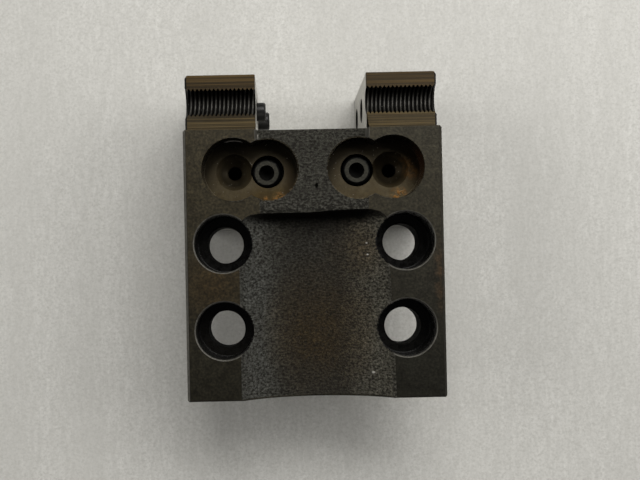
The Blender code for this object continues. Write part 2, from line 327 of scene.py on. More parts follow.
def mat_pad():
    n = Nodes("milled_blackened")
    big = n.noise(0.055, 3, 0.55, seed=3)
    mid = n.noise(0.25, 4, 0.6, seed=9)
    fine = n.noise(2.6, 4, 0.7)
    marks = n.noise(1.0, 3, 0.6, stretch=(0.10, 3.2, 1.0), seed=5)
    x, y, z = n.split(n.mm)
    level = n.math("ADD", y, n.math("MULTIPLY", n.math("SUBTRACT", big, 0.5), 18.0))
    tone = n.ramp(n.grey(level, -58, 58), [(0.06, (0.0098, 0.0092, 0.0060)), (0.36, (0.0155, 0.0136, 0.0086)), (0.66, (0.0285, 0.0238, 0.0136)),
                                           (0.80, (0.0295, 0.0252, 0.0152))])
    tone = n.mix(n.grey(x, 5.0, 30.0, 0.0, 0.8), tone, n.mix(1.0, tone, (0.70, 0.80, 0.96), "MULTIPLY"))
    tone = n.mix(n.grey(y, 0.0, 12.0, 0.0, 0.8), tone, n.mix(1.0, tone, (0.76, 0.75, 0.73), "MULTIPLY"))
    brown = n.grey(distance_to(n, -36.0, 41.0), 3.0, 15.0, 0.75, 0.0)
    tone = n.mix(n.math("MULTIPLY", brown, n.grey(mid, 0.2, 0.7, 0.7, 1.0)), tone, (0.0285, 0.0182, 0.0066))
    rusty = n.grey(distance_to(n, 43.6, 43.0, (1, 0.16, 0)), 0.3, 2.6, 0.7, 0.0)
    tone = n.mix(n.math("MULTIPLY", rusty, n.grey(mid, 0.35, 0.6)), tone, (0.040, 0.022, 0.010))
    grit = n.noise(1.1, 3, 0.65, seed=41)
    tone = n.mix(n.grey(mid, 0.44, 0.66, 0.0, 0.40), tone, n.mix(1.0, tone, (1.7, 1.7, 1.7), "MULTIPLY"))
    tone = n.mix(n.grey(mid, 0.48, 0.30, 0.0, 0.55), tone, n.mix(1.0, tone, (0.45, 0.44, 0.42), "MULTIPLY"))
    tone = n.mix(n.grey(grit, 0.50, 0.66, 0.0, 0.70), tone, n.mix(1.0, tone, (2.3, 2.2, 2.05), "MULTIPLY"))
    tone = n.mix(n.grey(grit, 0.49, 0.35, 0.0, 0.72), tone, n.mix(1.0, tone, (0.22, 0.21, 0.20), "MULTIPLY"))
    # a thin black line painted where the side chamfers begin
    ax = n.math("ABSOLUTE", x)
    line = n.math("MULTIPLY", n.grey(n.math("ABSOLUTE", n.math("SUBTRACT", ax, 44.52)), 0.26, 0.08), n.grey(n.split(n.mm)[2], 57.5, 57.7))
    tone = n.mix(n.math("MULTIPLY", line, 0.75), tone, (0.004, 0.0035, 0.003))
    specks = n.grey(n.voronoi(0.42), 0.0, 0.035, 1.0, 0.0)
    specks = n.math("MULTIPLY", specks, n.grey(n.noise(0.3, 1, seed=20), 0.55, 0.62))
    tone = n.mix(specks, tone, (0.36, 0.33, 0.27))
    rough = n.math("ADD", n.grey(mid, 0.3, 0.7, 0.40, 0.46), n.grey(fine, 0.3, 0.7, -0.03, 0.05))
    nor = n.bump(fine, 0.02, 0.5)
    nor = n.bump(grit, 0.07, 0.8, nor)
    nor = n.bump(marks, 0.012, 0.6, nor)
    tone = n.mix(1.0, tone, (0.86, 0.86, 0.86), "MULTIPLY")
    return n.done(tone, rough, 0.25, nor, Specular_IOR_Level=0.30, Specular_Tint=(1.0, 0.92, 0.78, 1.0))


def mat_cast():
    n = Nodes("as_cast_blackened")
    x, y, z = n.split(n.mm)
    warp = n.noise(0.9, 3, 0.6, seed=31)
    peb = n.noise(1.0, 5, 0.66, stretch=(0.98, 1.38, 1.2), seed=4)
    grain = n.noise(3.0, 3, 0.65, seed=7)
    big = n.noise(0.06, 3, 0.55, seed=12)
    patch = n.noise(0.22, 3, 0.6, seed=23)
    tone = n.ramp(peb, [(0.40, (0.0008, 0.0008, 0.0006)), (0.455, (0.0140, 0.0133, 0.0106)), (0.53, (0.0300, 0.0285, 0.0229)), (0.64, (0.058, 0.055, 0.045))])
    low = n.grey(y, 66.0 - 58, 63.0 - 58)
    tone = n.mix(n.math("MULTIPLY", n.grey(x, 9.0, 20.0), low), tone, n.mix(1.0, tone, (2.15, 2.06, 1.95), "MULTIPLY"))
    tone = n.mix(n.math("MULTIPLY", n.grey(x, -11.0, -20.0), low), tone, n.mix(1.0, tone, (1.85, 1.92, 2.10), "MULTIPLY"))
    tone = n.mix(n.grey(patch, 0.38, 0.62, 0.0, 0.45), tone, n.mix(1.0, tone, (0.52, 0.51, 0.50), "MULTIPLY"))
    ridge = n.math("MULTIPLY", n.grey(y, 73.0 - 58, 68.5 - 58), n.grey(z, 56.6, 57.0))
    tone = n.mix(ridge, tone, n.mix(1.0, tone, (0.72, 0.72, 0.71), "MULTIPLY"))
    top = n.math("MULTIPLY", n.grey(y, 73.0 - 58, 80.0 - 58), n.grey(z, 56.6, 57.0))
    tone = n.mix(top, tone, n.mix(1.0, tone, (1.30, 1.30, 1.30), "MULTIPLY"))
    tone = n.mix(n.math("MULTIPLY", ridge, n.grey(peb, 0.50, 0.60, 0.0, 0.6)), tone, (0.075, 0.071, 0.060))
    tone = n.mix(n.math("MULTIPLY", ridge, n.grey(peb, 0.46, 0.38, 0.0, 0.8)), tone, (0.002, 0.002, 0.0017))
    brown = n.grey(distance_to(n, 1.5, 24.0, (1.0, 0.72, 0)), 6.0, 21.0, 0.95, 0.0)
    more = n.grey(distance_to(n, 13.0, 52.0, (1.0, 0.8, 0)), 2.0, 12.0, 0.6, 0.0)
    brown = n.math("MULTIPLY", n.math("MAXIMUM", brown, more), n.grey(big, 0.3, 0.6, 0.5, 1.0))
    core = n.math("MULTIPLY", n.grey(n.math("ABSOLUTE", n.math("ADD", x, -1.5)), 20.0, 7.0), n.grey(y, 66.0 - 58, 63.0 - 58))
    tone = n.mix(core, tone, n.mix(1.0, tone, (0.60, 0.585, 0.58), "MULTIPLY"))
    tone = n.mix(brown, tone, n.mix(1.0, tone, (1.32, 0.88, 0.36), "MULTIPLY"))
    tone = n.mix(n.grey(grain, 0.54, 0.70, 0.0, 0.30), tone, (0.052, 0.049, 0.040))
    tone = n.mix(n.grey(grain, 0.47, 0.36, 0.0, 0.75), tone, (0.0012, 0.0011, 0.0009))
    # painted shade under the end wall's rim and on the wall itself, where the wall's shadow falls on the trough
    rim_painted_shade = n.math("MULTIPLY", n.grey(y, 61.6 - 58, 64.2 - 58), n.grey(z, 57.75, 57.3))
    rim_painted_shade = n.math("MULTIPLY", rim_painted_shade, n.grey(y, 66.9 - 58, 66.4 - 58))
    rim_painted_shade = n.math("MULTIPLY", rim_painted_shade, n.grey(n.math("ABSOLUTE", n.math("ADD", x, -0.3)), 24.0, 17.5))
    tone = n.mix(n.math("MULTIPLY", rim_painted_shade, 0.93), tone, (0.0018, 0.0018, 0.0018))
    tiny = n.math("MULTIPLY", n.grey(n.voronoi(0.30), 0.0, 0.06, 1.0, 0.0), n.grey(n.noise(0.5, 1, seed=2), 0.56, 0.60))
    tone = n.mix(n.math("MULTIPLY", tiny, n.math("SUBTRACT", 1.0, rim_painted_shade)), tone, (0.28, 0.26, 0.22))
    tone = n.mix(1.0, tone, (1.58, 1.64, 1.68), "MULTIPLY")
    pit = n.grey(distance_to(n, 1.2, 75.0, (1.55, 0.85, 0)), 1.05, 0.65)
    tone = n.mix(n.math("MULTIPLY", pit, 0.95), tone, (0.0012, 0.0010, 0.0008))
    for fx, fy, fr in ((20.2, 8.6, 0.55), (18.7, 54.6, 0.34), (19.0, 50.5, 0.34)):
        tone = n.mix(n.grey(distance_to(n, fx, fy, (0.8, 1.2, 0)), fr, fr * 0.5), tone, (0.62, 0.60, 0.56))
    rough = n.grey(peb, 0.3, 0.7, 0.62, 0.46)
    spec = n.math("MULTIPLY", n.grey(rim_painted_shade, 0.0, 1.0, 0.42, 0.08), n.grey(core, 0.0, 1.0, 1.0, 0.85))
    spec = n.math("MULTIPLY", spec, n.math("SUBTRACT", 1.0, n.math("MULTIPLY", pit, 0.95)))
    nor = n.bump(warp, 0.20, 1.0)
    nor = n.bump(peb, 1.7, 1.0, nor)
    nor = n.bump(grain, 0.14, 1.0, nor)
    return n.done(tone, rough, 0.22, nor, Specular_IOR_Level=spec, Specular_Tint=(1.0, 0.93, 0.82, 1.0))


def mat_step():
    n = Nodes("worn_step")
    a = n.noise(0.9, 4, 0.6, seed=2)
    tone = n.ramp(a, [(0.3, (0.055, 0.052, 0.044)), (0.7, (0.115, 0.110, 0.096))])
    return n.done(tone, n.grey(a, 0.3, 0.7, 0.38, 0.55), 0.5, n.bump(n.noise(2.5, 4, 0.6), 0.04, 0.7))


def mat_bare():
    """Milled, left bare and gone brownish, with fine tool marks along X."""
    n = Nodes("bare_milled")
    lines = n.noise(1.0, 3, 0.7, stretch=(0.009, 1.9, 0.6), seed=6)
    deep = n.noise(1.0, 2, 0.5, stretch=(0.006, 1.25, 0.6), seed=16)
    fine = n.noise(3.0, 3, 0.6)
    big = n.noise(0.12, 2, 0.5, seed=1)
    tone = n.ramp(lines, [(0.38, (0.0075, 0.0050, 0.0020)), (0.50, (0.033, 0.0230, 0.0098)), (0.62, (0.090, 0.066, 0.030))])
    tone = n.mix(n.grey(deep, 0.36, 0.46, 0.8, 0.0), tone, (0.011, 0.008, 0.004))
    tone = n.mix(n.grey(big, 0.35, 0.7, 0.0, 0.25), tone, (0.050, 0.043, 0.031))
    y = n.split(n.mm)[1]
    low = n.grey(y, 43.0, 46.0, 0.35, 0.0)
    tone = n.mix(n.grey(y, 50.0, 53.0), tone, n.mix(1.0, tone, (0.94, 0.82, 0.62), "MULTIPLY"))
    tone = n.mix(low, tone, n.mix(1.0, tone, (1.9, 2.0, 2.1), "MULTIPLY"))
    chips = n.math("MULTIPLY", n.grey(n.voronoi(1.4), 0.0, 0.16, 1.0, 0.0), n.grey(n.noise(0.6, 2, seed=8), 0.56, 0.64))
    chips = n.math("MULTIPLY", chips, n.grey(y, 38.5, 42.5, 1.0, 0.10))
    tone = n.mix(chips, tone, (0.22, 0.20, 0.16))
    nor = n.bump(lines, 0.04, 0.9)
    nor = n.bump(deep, 0.04, 0.6, nor)
    nor = n.bump(chips, 0.10, 0.8, nor)
    tone = n.mix(1.0, tone, (0.78, 0.74, 0.66), "MULTIPLY")
    return n.done(tone, n.grey(lines, 0.3, 0.7, 0.42, 0.56), 0.45, nor, Specular_IOR_Level=0.36, Specular_Tint=(1.0, 0.90, 0.72, 1.0))


def mat_thread():
    """Dark grooves, crests worn bright; radius from the bore's axis tells them apart. Towards the top of each groove
    the crests carry painted shade.
    """
    n = Nodes("thread")
    x, y, z = n.split(n.mm)
    dy = n.math("SUBTRACT", y, CLAMP_Y - H / 2)
    best = None
    for zc in CLAMP_Z:
        dz = n.math("SUBTRACT", z, zc)
        r = n.math("SQRT", n.math("ADD", n.math("MULTIPLY", dy, dy), n.math("MULTIPLY", dz, dz)))
        best = r if best is None else n.math("MINIMUM", best, r)
    crest = n.grey(best, 4.60, 4.30)
    wear = n.noise(0.8, 4, 0.7, seed=3)
    crest = n.math("MULTIPLY", crest, n.grey(wear, 0.30, 0.62, 0.35, 1.0))
    # painted shade: crests toned down towards the top of the groove, whose upper wall faces away from the light
    crest = n.math("MULTIPLY", crest, n.grey(y, 109.6 - 58, 106.5 - 58, 0.15, 1.0))
    tone = n.mix(crest, (0.004, 0.0037, 0.003), (0.095, 0.091, 0.083))
    bits = n.math("MULTIPLY", n.grey(n.voronoi(0.9), 0.0, 0.13, 1.0, 0.0), n.grey(n.noise(0.7, 1, seed=14), 0.58, 0.64))
    tone = n.mix(bits, tone, (0.42, 0.41, 0.38))
    tone = n.mix(1.0, tone, (0.66, 0.65, 0.63), "MULTIPLY")
    return n.done(tone, n.grey(wear, 0.3, 0.7, 0.42, 0.58), 0.4, n.bump(n.noise(4.0, 3, 0.6), 0.02, 0.6),
                  Specular_IOR_Level=n.grey(crest, 0.0, 0.5, 0.12, 0.5))


def mat_ground():
    n = Nodes("ground_steel")
    lines = n.noise(1.0, 4, 0.7, stretch=(1.6, 1.6, 0.06), seed=3)
    big = n.noise(0.10, 4, 0.6, seed=6)
    tone = n.ramp(big, [(0.3, (0.42, 0.41, 0.38)), (0.7, (0.62, 0.61, 0.575))])
    tone = n.mix(n.grey(lines, 0.35, 0.65, 0.0, 0.4), tone, (0.32, 0.31, 0.28))
    return n.done(tone, n.grey(lines, 0.3, 0.7, 0.36, 0.48), 0.65, n.bump(lines, 0.008, 0.6))


def mat_pocket():
    n = Nodes("pocket_bare_rusting")
    x, y, z = n.split(n.mm)
    big = n.noise(0.16, 4, 0.6, seed=2)
    mid = n.noise(0.7, 4, 0.65, seed=5)
    fine = n.noise(3.0, 4, 0.7, seed=8)
    # circular tool marks round each lobe's own centre
    ax = n.math("ABSOLUTE", x)
    outer = n.math("GREATER_THAN", ax, 22.35)
    centre = n.math("ADD", SCREW_X, n.math("MULTIPLY", outer, SEAT_X - SCREW_X))
    dx = n.math("SUBTRACT", ax, centre)
    dy = n.math("SUBTRACT", y, POCKET_Y - H / 2)
    rad = n.math("SQRT", n.math("ADD", n.math("MULTIPLY", dx, dx), n.math("MULTIPLY", dy, dy)))
    comb = n.t.nodes.new("ShaderNodeCombineXYZ")
    n.put(comb.inputs[0], rad)
    n.put(comb.inputs[1], n.math("MULTIPLY", outer, 30.0))
    marks = n.noise(3.2, 3, 0.7, vec=comb.outputs[0])
    tone = n.ramp(big, [(0.28, (0.026, 0.0185, 0.0085)), (0.5, (0.043, 0.0335, 0.0170)), (0.72, (0.060, 0.051, 0.033))])
    # painted light: the lower part of each pocket, where light falls past the upper walls, is made lighter
    tone = n.mix(n.grey(y, 78.0 - 58, 71.5 - 58), tone, n.mix(1.0, tone, (1.35, 1.28, 1.12), "MULTIPLY"))
    tone = n.mix(n.grey(marks, 0.35, 0.7, 0.0, 0.4), tone, (0.030, 0.023, 0.014))
    tone = n.mix(n.grey(mid, 0.42, 0.62, 0.0, 0.65), tone, (0.026, 0.0175, 0.0085))
    tone = n.mix(n.grey(fine, 0.5, 0.85, 0.0, 0.5), tone, (0.105, 0.095, 0.072))
    # rust: two low corners and the right wall of the right pocket
    rust = None
    for rx, ry, r0, r1 in ((-12.4, 71.6, 0.6, 2.6), (-16.8, 71.4, 0.2, 1.2), (31.0, 71.8, 1.2, 3.6), (36.5, 82.5, 2.0, 6.0)):
        d = n.grey(distance_to(n, rx, ry), r0, r1, 1.0, 0.0)
        rust = d if rust is None else n.math("MAXIMUM", rust, d)
    rust = n.math("MULTIPLY", rust, n.grey(mid, 0.40, 0.56))
    rust = n.math("MULTIPLY", rust, n.grey(distance_to(n, 37.5, 84.0), 5.0, 9.0, 0.35, 1.0))
    # red-brown toning by the right pocket's right wall: a rust stain together with painted shade from that wall
    red = n.grey(distance_to(n, 38.0, 83.0), 2.0, 10.5, 0.85, 0.0)
    tone = n.mix(red, tone, (0.012, 0.0060, 0.0026))
    # painted shade, tinted brown, on the right-hand part of the left pocket by its right wall
    side = n.grey(x, -11.5, -7.5)
    side = n.math("MULTIPLY", side, n.grey(x, 0.0, -1.0))
    tone = n.mix(n.math("MULTIPLY", side, 0.9), tone, (0.022, 0.0130, 0.0038))
    warm = n.math("MULTIPLY", n.grey(y, 79.0 - 58, 73.0 - 58), n.grey(x, -24.0, -19.0))
    warm = n.math("MULTIPLY", warm, n.grey(x, -5.0, -6.0))
    tone = n.mix(warm, tone, n.mix(1.0, tone, (0.80, 0.66, 0.32), "MULTIPLY"))
    tone = n.mix(rust, tone, n.ramp(fine, [(0.3, (0.075, 0.027, 0.006)), (0.7, (0.26, 0.120, 0.020))]))
    # painted shadow cast by the upper walls onto the floor, reckoned from each lobe's centre moved 4.6 mm down, and
    # painted shade round the seats' inner sides
    wob = n.math("MULTIPLY", n.math("SUBTRACT", big, 0.5), 5.0)
    reach = None
    for lobe in (SCREW_X, SEAT_X):
        lx, ly = n.math("SUBTRACT", ax, lobe), n.math("ADD", dy, 4.6)
        lr = n.math("SQRT", n.math("ADD", n.math("MULTIPLY", lx, lx), n.math("MULTIPLY", ly, ly)))
        reach = lr if reach is None else n.math("MINIMUM", reach, lr)
    wall_and_seat_painted_shade = n.grey(n.math("ADD", reach, n.math("MULTIPLY", wob, 0.7)), 5.4, 11.2, 0.0, 0.95)
    wall_and_seat_painted_shade = n.math("POWER", wall_and_seat_painted_shade, 1.5)
    seat = n.math("MULTIPLY", n.grey(rad, 4.6, 6.5, 0.85, 0.0), outer)
    seat = n.math("MULTIPLY", seat, n.math("MAXIMUM", n.grey(x, -26.0, -22.5, 1.0, 0.35), n.grey(x, 0.0, 1.0)))
    wall_and_seat_painted_shade = n.math("MAXIMUM", wall_and_seat_painted_shade, seat)
    inner = n.math("MULTIPLY", n.grey(distance_to(n, 25.4, 84.0), 2.5, 8.0, 0.9, 0.0), n.grey(x, 0.0, 1.0))
    wall_and_seat_painted_shade = n.math("MAXIMUM", wall_and_seat_painted_shade, inner)
    wall_and_seat_painted_shade = n.math("MAXIMUM", wall_and_seat_painted_shade, n.grey(distance_to(n, -29.5, 84.8), 2.0, 7.5, 0.8, 0.0))
    tone = n.mix(wall_and_seat_painted_shade, tone, (0.0048, 0.0036, 0.0020))
    specks = n.math("MULTIPLY", n.grey(n.voronoi(1.1), 0.0, 0.13, 1.0, 0.0), n.grey(n.noise(0.45, 1, seed=4), 0.52, 0.58))
    tone = n.mix(specks, tone, (0.55, 0.52, 0.46))
    nor = n.bump(mid, 0.03, 0.6)
    nor = n.bump(marks, 0.035, 0.9, nor)
    nor = n.bump(rust, 0.12, 0.8, nor)
    nor = n.bump(fine, 0.02, 0.6, nor)
    return n.done(tone, n.grey(mid, 0.3, 0.7, 0.36, 0.50), 0.30, nor, Specular_IOR_Level=n.math("MULTIPLY", n.grey(wall_and_seat_painted_shade, 0.0, 1.0, 0.36, 0.12), n.grey(red, 0.0, 1.0, 1.0, 0.25)),
                  Specular_Tint=(1.0, 0.90, 0.68, 1.0))


def mat_wall():
    """The pockets' upright walls, glossy: near-black above as painted shade, brown low down where the light reaches; a
    painted highlight arc sits on the left pocket's upper wall.
    """
    n = Nodes("pocket_wall_oily")
    x, y, z = n.split(n.mm)
    mid = n.noise(0.6, 4, 0.6, seed=3)
    fine = n.noise(2.8, 3, 0.6)
    tone = n.ramp(mid, [(0.3, (0.0035, 0.0032, 0.0025)), (0.7, (0.009, 0.0075, 0.005))])
    # painted shade: the walls stay near-black above and show their brown only low down
    low = n.grey(n.math("ADD", y, n.math("MULTIPLY", mid, 4.0)), 86.0 - 58, 76.0 - 58, 0.0, 0.9)
    tone = n.mix(low, tone, n.ramp(fine, [(0.3, (0.034, 0.026, 0.015)), (0.7, (0.075, 0.064, 0.044))]))
    red = n.grey(distance_to(n, 38.5, 82.0), 3.0, 9.0, 0.8, 0.0)
    tone = n.mix(n.math("MULTIPLY", red, n.grey(fine, 0.35, 0.6)), tone, (0.050, 0.020, 0.008))
    glint = n.math("MULTIPLY", n.grey(n.math("ABSOLUTE", n.math("ADD", x, 28.0)), 3.6, 2.2), n.grey(y, 89.6 - 58, 90.2 - 58))
    glint = n.math("MULTIPLY", glint, n.math("MULTIPLY", n.grey(z, 52.6, 52.0), n.grey(z, 49.8, 50.3)))
    tone = n.mix(n.math("MULTIPLY", glint, n.grey(fine, 0.3, 0.42)), tone, (0.95, 0.93, 0.90))
    return n.done(tone, n.grey(mid, 0.3, 0.7, 0.16, 0.32), 0.2, n.bump(fine, 0.015, 0.5), Specular_IOR_Level=0.4)


def mat_bore(name="bore_painted_shade"):
    n = Nodes(name)
    rings_ = n.noise(1.0, 3, 0.6, stretch=(0.02, 0.02, 3.6), seed=3)
    fine = n.noise(2.2, 3, 0.6)
    mid = n.noise(0.5, 3, 0.6, seed=7)
    # near-black tone: painted shade deep inside the bores, with tool rings and flecks on top
    tone = n.ramp(mid, [(0.3, (0.0007, 0.0007, 0.0006)), (0.7, (0.0026, 0.0024, 0.0019))])
    tone = n.mix(n.grey(rings_, 0.55, 0.75, 0.0, 0.5), tone, (0.007, 0.0062, 0.0050))
    flecks = n.math("MULTIPLY", n.grey(n.voronoi(0.9), 0.0, 0.09, 1.0, 0.0), n.grey(n.noise(0.5, 1, seed=9), 0.58, 0.63))
    tone = n.mix(flecks, tone, (0.12, 0.115, 0.10))
    nor = n.bump(rings_, 0.03, 0.7)
    nor = n.bump(fine, 0.03, 0.6, nor)
    return n.done(tone, n.grey(mid, 0.3, 0.7, 0.20, 0.36), 0.1, nor, Specular_IOR_Level=0.15)


def mat_screw(name="black_oxide"):
    n = Nodes(name)
    a = n.noise(0.9, 4, 0.65, seed=5)
    fine = n.noise(5.0, 3, 0.6)
    tone = n.ramp(a, [(0.3, (0.004, 0.004, 0.004)), (0.7, (0.012, 0.012, 0.0115))])
    geo = n.t.nodes.new("ShaderNodeNewGeometry")
    edge = n.grey(geo.outputs["Pointiness"], 0.52, 0.58)
    edge = n.math("MULTIPLY", edge, n.grey(a, 0.3, 0.6, 0.2, 0.8))
    tone = n.mix(edge, tone, (0.060, 0.060, 0.057))
    nor = n.bump(fine, 0.01, 0.5)
    return n.done(tone, n.grey(a, 0.3, 0.7, 0.30, 0.46), 0.3, nor, Specular_IOR_Level=0.35)


def mat_socket():
    n = Nodes("socket_painted_shade")
    a = n.noise(1.6, 4, 0.6, seed=3)
    # near-black tone: painted shade deep in the hex sockets and the bolt holes
    tone = n.ramp(a, [(0.3, (0.0010, 0.0010, 0.0010)), (0.7, (0.0040, 0.0036, 0.0028))])
    return n.done(tone, n.grey(a, 0.3, 0.7, 0.6, 0.8), 0.0, n.bump(a, 0.05, 0.6), Specular_IOR_Level=0.06)


def mat_screw_top():
    n = Nodes("worn_head_face")
    a = n.noise(1.4, 4, 0.65, seed=8)
    ringy = n.noise(1.0, 3, 0.6, stretch=(0.5, 0.5, 1), seed=1)
    tone = n.ramp(a, [(0.36, (0.010, 0.0098, 0.0085)), (0.50, (0.026, 0.0255, 0.022)), (0.64, (0.052, 0.051, 0.045))])
    tone = n.mix(n.grey(ringy, 0.4, 0.7, 0.0, 0.4), tone, (0.014, 0.0135, 0.011))
    tone = n.mix(1.0, tone, (0.80, 0.79, 0.70), "MULTIPLY")
    return n.done(tone, n.grey(a, 0.3, 0.7, 0.50, 0.66), 0.30, n.bump(n.noise(4.0, 3, 0.6), 0.015, 0.6), Specular_IOR_Level=0.30, Specular_Tint=(1.0, 0.96, 0.86, 1.0))


def mat_plug():
    n = Nodes("phosphated_plug")
    a = n.noise(0.8, 4, 0.6, seed=3)
    tone = n.ramp(a, [(0.3, (0.035, 0.034, 0.031)), (0.7, (0.065, 0.062, 0.056))])
    return n.done(tone, n.grey(a, 0.3, 0.7, 0.42, 0.6), 0.6, n.bump(n.noise(3.0, 4, 0.6), 0.02, 0.7))


def mat_key():
    n = Nodes("ground_key")
    lines = n.noise(1.0, 4, 0.7, stretch=(0.05, 1.8, 1.8), seed=2)
    big = n.noise(0.2, 3, 0.6)
    tone = n.ramp(big, [(0.3, (0.26, 0.25, 0.235)), (0.7, (0.36, 0.355, 0.34))])
    tone = n.mix(n.grey(lines, 0.35, 0.7, 0.0, 0.35), tone, (0.20, 0.19, 0.175))
    return n.done(tone, n.grey(lines, 0.3, 0.7, 0.26, 0.4), 0.9, n.bump(lines, 0.008, 0.6))


def mat_rubber():
    n = Nodes("nitrile_rubber")
    a = n.noise(1.2, 4, 0.6)
    tone = n.ramp(a, [(0.3, (0.010, 0.010, 0.010)), (0.7, (0.020, 0.020, 0.019))])
    return n.done(tone, n.grey(a, 0.3, 0.7, 0.5, 0.65), 0.0, n.bump(a, 0.02, 0.5))


# ---------------------------------------------------------------- the block
def relief_cutter():
    """The cast relief in the front: a sloping recess between the pockets, then the concave trough with its end wall."""
    step = 0.36
    xs = np.arange(-29.4, 29.4 + step / 2, step)
    rim = np.interp(xs, [-30, -27.0, -25.6, -24.3, -22.8, -21.0, -18, 0, 5, 15, 20.5, 23.0, 24.8, 26.2, 28, 30],
                    [59.0, 62.2, 63.3, 64.2, 65.0, 65.35, 65.5, 65.6, 66.05, 66.4, 66.3, 65.7, 64.5, 63.2, 60.8, 58.0])
    wall_rows = [-2.6, -2.3, -2.0, -1.75, -1.5, -1.3, -1.1, -0.95, -0.8, -0.65, -0.5, -0.35, -0.2, -0.08, 0.0, 0.12]
    n1, n2 = int(66 / step), int(31 / step)
    rows = []
    for i in range(n1):
        rows.append(-3 + (rim - 2.9 + 3) * i / (n1 - 1))
    for r in wall_rows:
        rows.append(rim + r)
    for i in range(n2):
        rows.append(rim + 0.3 + (97.6 - rim - 0.3) * i / (n2 - 1))
    Y = np.array(rows)
    X = np.broadcast_to(xs, Y.shape)
    RIM = np.broadcast_to(rim, Y.shape)
    left_edge = np.full(Y.shape, -26.45)
    right_edge = np.interp(Y, [0, 20, 46, 66], [27.7, 27.2, 26.2, 26.2])
    c, h = (left_edge + right_edge) / 2, (right_edge - left_edge) / 2
    R = (h * h + 121.0) / 22.0
    trough = 47.0 + R - np.sqrt(np.maximum(R * R - (X - c) ** 2, 0))
    floor_depth = np.interp(Y, [64, 72, 95, 98], [0.30, 0.75, 2.5, 2.7])
    left = np.interp(Y, [66, 95], [-18.9, -20.4])
    right = np.interp(Y, [66, 95], [19.4, 20.1])
    w = 1.15
    slope = np.minimum(np.clip((X - left) / w, -1, 1), np.clip((right - X) / w, -1, 1))
    middle = np.where(slope <= 0, 58.0 - slope * 0.8, 58.0 - floor_depth * slope * slope * (3 - 2 * slope))
    height = np.maximum(middle - trough, 0)
    run = 0.8 + 0.1 * np.minimum(height, 11)
    t = np.clip((Y - (RIM - run)) / run, 0, 1)
    foot = np.minimum(1.3, 0.5 * height)
    climb = np.where(t < 0.5, foot * (t / 0.5) ** 2.4,
                     np.where(t < 0.92, foot + (height - 0.3 - foot).clip(0) * (t - 0.5) / 0.42,
                              np.maximum(height - 0.3, foot) + 0.3 * ((t - 0.92) / 0.08) ** 0.6))
    Z = np.where(Y < RIM, np.where(height > 0, trough + np.minimum(climb, height), np.maximum(trough, middle)), middle)
    verts, (ny, nx) = [], Y.shape
    for j in range(ny):
        for i in range(nx):
            x, y, z = float(X[j, i]), float(Y[j, i]), float(Z[j, i])
            k = noise.noise(Vector((x * 0.09, y * 0.09, 3.0))) * 0.14
            k += noise.noise(Vector((x * 0.33, y * 0.33, 7.0))) * 0.07
            g = noise.noise(Vector((x * 0.95, y * 0.95, 11.0))) * 0.16 + noise.noise(Vector((x * 1.6, y * 1.6, 19.0))) * 0.17
            if y < 66.6:
                k *= min(1.0, max(0.0, (58.0 - z) / 1.6))
                g *= min(1.0, max(0.12, (58.0 - z) / 1.2))
            if y > 66.5:
                k *= 0.6
                g *= 1.0 if abs(x) < 13 else max(0.35, 1 - (abs(x) - 13) / 5)
            k += g
            d = math.hypot((x - 1.0) * 0.8 + (y - 75.0) * 0.35, (y - 75.0) * 0.75)
            if d < 0.95:
                k -= 0.6 * (1 - d / 0.95) ** 0.6
            verts.append(P(x, y, min(z + k, 60.5)))
    base = len(verts)
    faces = []
    for j in range(ny - 1):
        for i in range(nx - 1):
            a = j * nx + i
            faces.append((a, a + nx, a + nx + 1, a + 1))
    border = [i for i in range(nx)] + [j * nx + nx - 1 for j in range(1, ny)]
    border += [(ny - 1) * nx + i for i in range(nx - 2, -1, -1)] + [j * nx for j in range(ny - 2, 0, -1)]
    for b in border:
        v = verts[b]
        verts.append(Vector((v.x, v.y, 0.064)))
    m = len(border)
    for k in range(m):
        l = (k + 1) % m
        faces.append((border[k], border[l], base + l, base + k))
    faces.append(tuple(base + k for k in range(m)))
    return fix_normals(new_object("c_relief", verts, faces))


def figure_eight(side, ro, ri, y_shift=0.0):
    """Outline of a pocket's two lobes: radius ro round the seat, ri round the screw."""
    n = 80
    if side < 0:
        (xl, rl), (xr, rr) = (-SEAT_X, ro), (-SCREW_X, ri)
    else:
        (xl, rl), (xr, rr) = (SCREW_X, ri), (SEAT_X, ro)
    d = xr - xl
    a = (d * d + rl * rl - rr * rr) / (2 * d)
    al, ar = math.acos(a / rl), math.acos((d - a) / rr)
    pts = []
    for i in range(n + 1):
        q = al + (2 * math.pi - 2 * al) * i / n
        pts.append((xl + rl * math.cos(q), POCKET_Y + y_shift + rl * math.sin(q)))
    for i in range(1, n):
        q = -(math.pi - ar) + 2 * (math.pi - ar) * i / n
        pts.append((xr + rr * math.cos(q), POCKET_Y + y_shift + rr * math.sin(q)))
    return pts


